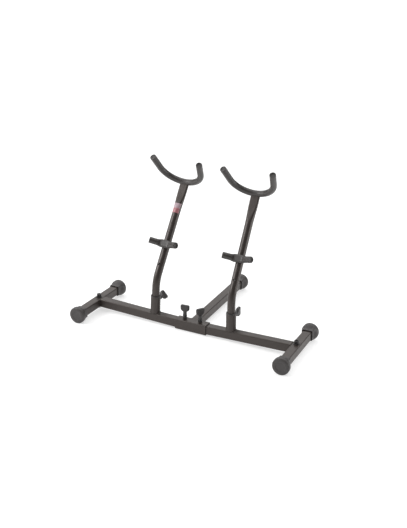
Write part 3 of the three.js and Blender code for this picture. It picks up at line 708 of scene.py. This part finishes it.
def build_post_clamp(word):
    """Nut welded behind the socket, with the screw and the knob that clamp the post."""
    behind = Vector((0, SOCKET_RADIUS + GAP, POST_SCREW_Z))
    nut_with_weld(f"{word}_post_nut", f"{word}_socket_nut", f"{word}_half", HALF[word], behind,
                  Y, X, Z, 2.0)
    tip = Vector((0, POST_RADIUS + GAP, POST_SCREW_Z))
    turn = POST_TURN[word]
    build_clamp(word, "post", tip, behind + KNOB_STANDOFF * Y, Y,
                math.cos(turn) * X - math.sin(turn) * Z)


# ------------------------------------------------------------ posts, forks and pegs


def blade_part(distance):
    """0 where the post is round, 1 where it is pressed to a blade."""
    return ease((distance - BLADE_LOW) / BLADE_BLEND)


def post_mesh():
    """Upright foot, bend, round leaning tube, then the blade under the fork."""
    n = 64
    bottom = TUBE_TOP + GAP + POST_PLUG_FLANGE + GAP
    rows = [ring(circle(POST_RADIUS, n), z * Z, X, Y) for z in (bottom, bottom + 20)]
    bend_low, bend_steps = CORNER_Z - BEND_RADIUS * math.tan(LEAN / 2), 24
    for i in range(bend_steps + 1):
        a = LEAN * i / bend_steps
        back, rise = BEND_RADIUS * (1 - math.cos(a)), BEND_RADIUS * math.sin(a)
        back_axis = Vector((0, math.cos(a), -math.sin(a)))
        rows.append(ring(circle(POST_RADIUS, n), Vector((0, back, bend_low + rise)), X, back_axis))
    for d in (SPARE_AT, 80, PEG_AT, 150, BLADE_LOW - 6):
        rows.append(ring(circle(POST_RADIUS, n), on_post(d), X, -LEAN_FRONT))
    blend_steps = 18
    blend = [BLADE_LOW + BLADE_BLEND * i / blend_steps for i in range(blend_steps + 1)]
    for d in (*blend, FORK_AT - ROD - GAP):
        part = blade_part(d)
        w = 2 * POST_RADIUS + part * (BLADE_WIDTH - 2 * POST_RADIUS)
        h = 2 * POST_RADIUS + part * (BLADE_THICK - 2 * POST_RADIUS)
        rows.append(ring(outline(w, h, h / 2, n), on_post(d), X, -LEAN_FRONT))
    return skin(rows)


def build_post(word):
    """Post with a real hole for the peg, and a spare hole below it."""
    through = 20  # past the post's wall on both sides
    holes = [(on_post(d, through), on_post(d, -through)) for d in (SPARE_AT, PEG_AT)]
    bm = drilled(post_mesh(), holes, PEG_HOLE)
    piece(f"{word}_post_tube", bm, HALF[word], f"{word}_upright", "powder_coat", [f"{word}_post"],
          sharp=45)


def bent_path(mid, up, flat, radius, bend, arm, steps):
    """Stations of a symmetric bent rod in the plane of X and up, from left to right."""
    v = X.cross(up).normalized()
    flat_steps, arm_steps = 4, 6
    half = [(flat * k / flat_steps, 0.0, 0.0) for k in range(1, flat_steps)] if flat else []
    for i in range(0 if flat else 1, steps + 1):
        a = bend * i / steps
        half.append((flat + radius * math.sin(a), radius * (1 - math.cos(a)), a))
    x, rise, _ = half[-1]
    for i in range(1, arm_steps + 1):
        d = arm * i / arm_steps
        half.append((x + d * math.cos(bend), rise + d * math.sin(bend), bend))

    def station(side, x, rise, a):
        tangent = math.cos(a) * X + side * math.sin(a) * up
        return {"centre": mid + side * x * X + rise * up, "u": v.cross(tangent).normalized(),
                "v": v, "along": side * x, "tangent": tangent}

    left = [station(-1, *h) for h in reversed(half)]
    return left + [station(1, 0, 0, 0)] + [station(1, *h) for h in half]


HOSE_LIP = ((1.15, 0.0), (0.7, 0.0), (0.3, -0.15), (0.08, -0.45), (0, -0.9))  # (shrink, shift)


def hose_mesh(path, section, bore_section):
    """Hose along a path, with softly rounded lips and a bore at both ends."""

    def moved(station, points, shift):
        centre = station["centre"] + shift * station["tangent"]
        return ring(points, centre, station["u"], station["v"])

    first, last, between = path[0], path[-1], path[1:-1]
    rows = [moved(first, section(first["along"], -shrink), -shift) for shrink, shift in HOSE_LIP]
    rows += [moved(s, section(s["along"], 0), 0) for s in between]
    rows += [moved(last, section(last["along"], -shrink), shift)
             for shrink, shift in reversed(HOSE_LIP)]
    sink = 0.4  # the bore starts a little inside the lip
    inner = [(last, -sink), *((s, 0) for s in reversed(between)), (first, sink)]
    rows += [moved(s, bore_section(s["along"]), shift) for s, shift in inner]
    return skin(rows, loop=True)


def build_pad(word, kind, path, section, bore_section):
    """Hose along a path, with a slightly dished stopper inside each end."""
    matrix, body = HALF[word], f"{word}_upright"
    bm = hose_mesh(path, section, bore_section)
    piece(f"{word}_{kind}_pad", bm, matrix, body, "hose", [f"{word}_{kind}_hose"], sharp=60)
    for place, station, inward in (("left", path[0], 1), ("right", path[-1], -1)):
        axis = inward * station["tangent"]
        start = station["centre"] + STOPPER_DEPTH * axis
        bm = turned(HOSE_STOPPER, start, axis, station["u"], station["v"], 40)
        piece(f"{word}_{kind}_{place}_stopper", bm, matrix, body, "black_plastic",
              [f"{word}_{kind}_{place}_plug"], sharp=50)


def build_fork(word):
    up = Vector((0, -math.sin(FORK_FORWARD), math.cos(FORK_FORWARD)))
    path = bent_path(on_post(FORK_AT), up, **FORK, steps=36)
    build_pad(word, "fork", path, lambda d, grow: circle(HOSE + grow, 56),
              lambda d: circle(ROD + BORE_EASE, 56))


def peg_section(distance, grow):
    """Section of the peg's bar, that far from its middle and grown outwards by that much."""
    part = ease((abs(distance) - PEG_FLAT_END) / PEG_BLEND)
    w = PEG_FLAT_WIDTH + part * (2 * ROD - PEG_FLAT_WIDTH) + 2 * grow
    h = PEG_FLAT_THICK + part * (2 * ROD - PEG_FLAT_THICK) + 2 * grow
    return outline(h, w, min(w, h) / 2, 64)


def wing_nut_mesh(origin, axis, u, v):
    """Hub with a rounded shoulder and two ear-shaped wings that spread outwards and back."""
    bm = turned(WING_NUT_HUB, origin, axis, u, v, 40)
    steps = 20
    for side in (-1, 1):
        root = origin + 3.0 * side * u + 2.8 * axis
        spread = 9.2 * side * u + 5.2 * axis
        lean = (0.87 * side * u + 0.5 * axis).normalized()
        across = (axis - axis.dot(lean) * lean).normalized()
        rows = []
        for i in range(steps + 1):
            t = i / steps
            if t < 0.5:
                width = WING_ROOT + (WING_WIDEST - WING_ROOT) * math.sin(math.pi * t)
            else:
                width = max(WING_WIDEST * math.sqrt(1 - (2 * t - 1) ** 4), WING_TIP)
            section = outline(width, WING_THICK, min(WING_CORNER, width / 2.2), 32)
            rows.append(ring(section, root + t * spread, across, v))
        skin(rows, bm=bm)
    return bm


def build_peg(word):
    """Padded peg, the stud through the post, and the wing nut behind it."""
    matrix = HALF[word]
    path = bent_path(on_post(PEG_AT, PEG_OFFSET), LEAN_FRONT, **PEG, steps=14)
    build_pad(word, "peg", path, lambda d, grow: peg_section(d, HOSE - ROD + grow),
              lambda d: peg_section(d, BORE_EASE))
    back = on_post(PEG_AT, -STUD_BACK)
    stud = screw_mesh(STUD_LENGTH, back, LEAN_FRONT, X, X.cross(LEAN_FRONT))
    piece(f"{word}_peg_thread", stud, matrix, f"{word}_upright", "zinc", [f"{word}_peg_stud"],
          sharp=60)
    nut = wing_nut_mesh(on_post(PEG_AT, -POST_RADIUS - GAP), -LEAN_FRONT, X, LEAN_UP)
    piece(f"{word}_wing_nut", nut, matrix, f"{word}_peg_nut", "zinc", [f"{word}_peg_wing_nut"],
          sharp=40)


def build_label():
    """A thin wrapped label on the front of the left post, where its blade begins."""
    rows, columns = 24, 32
    low = FORK_AT - LABEL_DOWN - LABEL_LENGTH / 2
    bm = bmesh.new()
    grid = []
    for i in range(rows + 1):
        d = low + LABEL_LENGTH * i / rows
        part = blade_part(d)
        w = POST_RADIUS + part * (BLADE_WIDTH / 2 - POST_RADIUS)
        h = POST_RADIUS + part * (BLADE_THICK / 2 - POST_RADIUS)
        row = []
        for k in range(columns + 1):
            a = LABEL_HALF_ANGLE * (2 * k / columns - 1)
            x = math.copysign(w - h, a) * min(1, abs(a) / 0.05) + h * math.sin(a)
            at = on_post(d, h * math.cos(a) + LABEL_LIFT) + x * (1 + LABEL_LIFT / w) * X
            row.append(bm.verts.new(at))
        grid.append(row)
    for a, b in zip(grid, grid[1:]):
        for i in range(columns):
            bm.faces.new((a[i], a[i + 1], b[i + 1], b[i]))
    piece("left_label", bm, HALF["left"], "left_upright", "sticker", sharp=60)


build_centre()
for side, word in SIDES:
    build_base_clamp(side, word)
for side, word in SIDES:
    build_beam_and_leg(side, word)
    build_leg_bolt(word)
    build_socket(side, word)
    build_post_clamp(word)
    build_post(word)
    build_fork(word)
    build_peg(word)
build_label()

# ------------------------------------------------------------ CAD nodes that stay visible

for subpart in frame["record"]["subparts"]:
    node = frame["nodes"][subpart["node"]]
    node.data.materials.clear()
    node.data.materials.append(MATERIALS[subpart["material_slot"]])

# ------------------------------------------------------------ floor, world, lights, metres

FLOOR_REACH = 30
# (from, to) along a direction of the sky, then the strength there and there
WORLD_FRONT_BACK = (-0.75, 0.35, 1.0, 1.25)
WORLD_LEFT_RIGHT = (-0.6, 0.6, 2.0, 0.65)
WORLD_TOP = (0.35, 0.95, 0.0, 0.45)
WORLD_BACKDROP = (0.0, 1.0, 0.0, 20)  # pale where it is seen directly, past the floor's edge
OVERHEAD_POWER, OVERHEAD_SPREAD = 2.9, math.radians(100)
OVERHEAD_TILT = (math.radians(-18), math.radians(-14), 0)


def build_floor():
    r = FLOOR_REACH
    mesh = bpy.data.meshes.new("floor")
    mesh.from_pydata([(-r, -r, 0), (r, -r, 0), (r, r, 0), (-r, r, 0)], [], [(0, 1, 2, 3)])
    mesh.materials.append(floor_paper())
    item = bpy.data.objects.new("floor", mesh)
    bpy.context.scene.collection.objects.link(item)


def studio_world():
    """Soft surroundings: brighter above, behind and to the left."""
    made = bpy.data.worlds.new("studio")
    made.use_nodes = True
    tree = made.node_tree

    def add(kind, **settings):
        node = tree.nodes.new(kind)
        for key, value in settings.items():
            setattr(node, key, value)
        return node

    def remap(socket, numbers):
        node = add("ShaderNodeMapRange", interpolation_type="SMOOTHSTEP")
        tree.links.new(socket, node.inputs["Value"])
        for index, value in enumerate(numbers, start=1):
            node.inputs[index].default_value = value
        return node.outputs["Result"]

    def combine(first, second, operation):
        node = add("ShaderNodeMath", operation=operation)
        tree.links.new(first, node.inputs[0])
        tree.links.new(second, node.inputs[1])
        return node.outputs[0]

    parts = add("ShaderNodeSeparateXYZ")
    tree.links.new(add("ShaderNodeTexCoord").outputs["Generated"], parts.inputs[0])
    depth = remap(parts.outputs["Y"], WORLD_FRONT_BACK)
    across = remap(parts.outputs["X"], WORLD_LEFT_RIGHT)
    height = remap(parts.outputs["Z"], WORLD_TOP)
    seen = remap(add("ShaderNodeLightPath").outputs["Is Camera Ray"], WORLD_BACKDROP)
    total = combine(combine(depth, across, "MULTIPLY"), height, "ADD")
    total = combine(total, seen, "ADD")
    tree.links.new(total, tree.nodes["Background"].inputs["Strength"])
    return made


def new_lamp(name, kind, power):
    data = bpy.data.lights.new(name, kind)
    data.energy = power
    lamp = bpy.data.objects.new(name, data)
    bpy.context.scene.collection.objects.link(lamp)
    return lamp


def area_light(name, place, target, size, power):
    lamp = new_lamp(name, "AREA", power)
    lamp.data.shape, lamp.data.size = "DISK", size
    lamp.location = place
    lamp.rotation_euler = (Vector(target) - Vector(place)).to_track_quat("-Z", "Y").to_euler()


def overhead_light():
    """A very wide sun, so its shadows are soft."""
    lamp = new_lamp("overhead", "SUN", OVERHEAD_POWER)
    lamp.data.angle = OVERHEAD_SPREAD
    lamp.rotation_euler = OVERHEAD_TILT


build_floor()
bpy.context.scene.world = studio_world()
area_light("key", place=(-1.7, -1.2, 1.35), target=(0, 0, 0.15), size=1.3, power=42)
area_light("fill", place=(1.9, 0.5, 0.55), target=(0.1, 0, 0.1), size=1.0, power=15)
overhead_light()

# ------------------------------------------------------------ camera

YAW, PITCH, ROLL = math.radians(25.81), math.radians(22.28), math.radians(1.27)
CAMERA_PLACE = (0.9337, -1.8675 + sleeve_mid.y, 1.0596)  # metres
SENSOR = 36.0  # millimetres, along the picture's height
FOCAL_LENGTH = 826.6 / 528  # in picture heights


def photo_camera():
    """The camera that was solved from the photo."""
    look = Vector((-math.sin(YAW) * math.cos(PITCH), math.cos(YAW) * math.cos(PITCH),
                   -math.sin(PITCH)))
    level = Vector((math.cos(YAW), math.sin(YAW), 0))
    above = level.cross(look)
    right = math.cos(ROLL) * level + math.sin(ROLL) * above
    up = -math.sin(ROLL) * level + math.cos(ROLL) * above
    data = bpy.data.cameras.new("camera")
    data.sensor_width = SENSOR
    data.lens = SENSOR * FOCAL_LENGTH
    data.clip_end = 100
    camera = bpy.data.objects.new("camera", data)
    camera.matrix_world = Matrix((right, up, -look)).transposed().to_4x4()
    camera.location = CAMERA_PLACE
    bpy.context.scene.collection.objects.link(camera)
    return camera


bpy.context.scene.camera = photo_camera()
bpy.context.scene.view_settings.view_transform = "Standard"
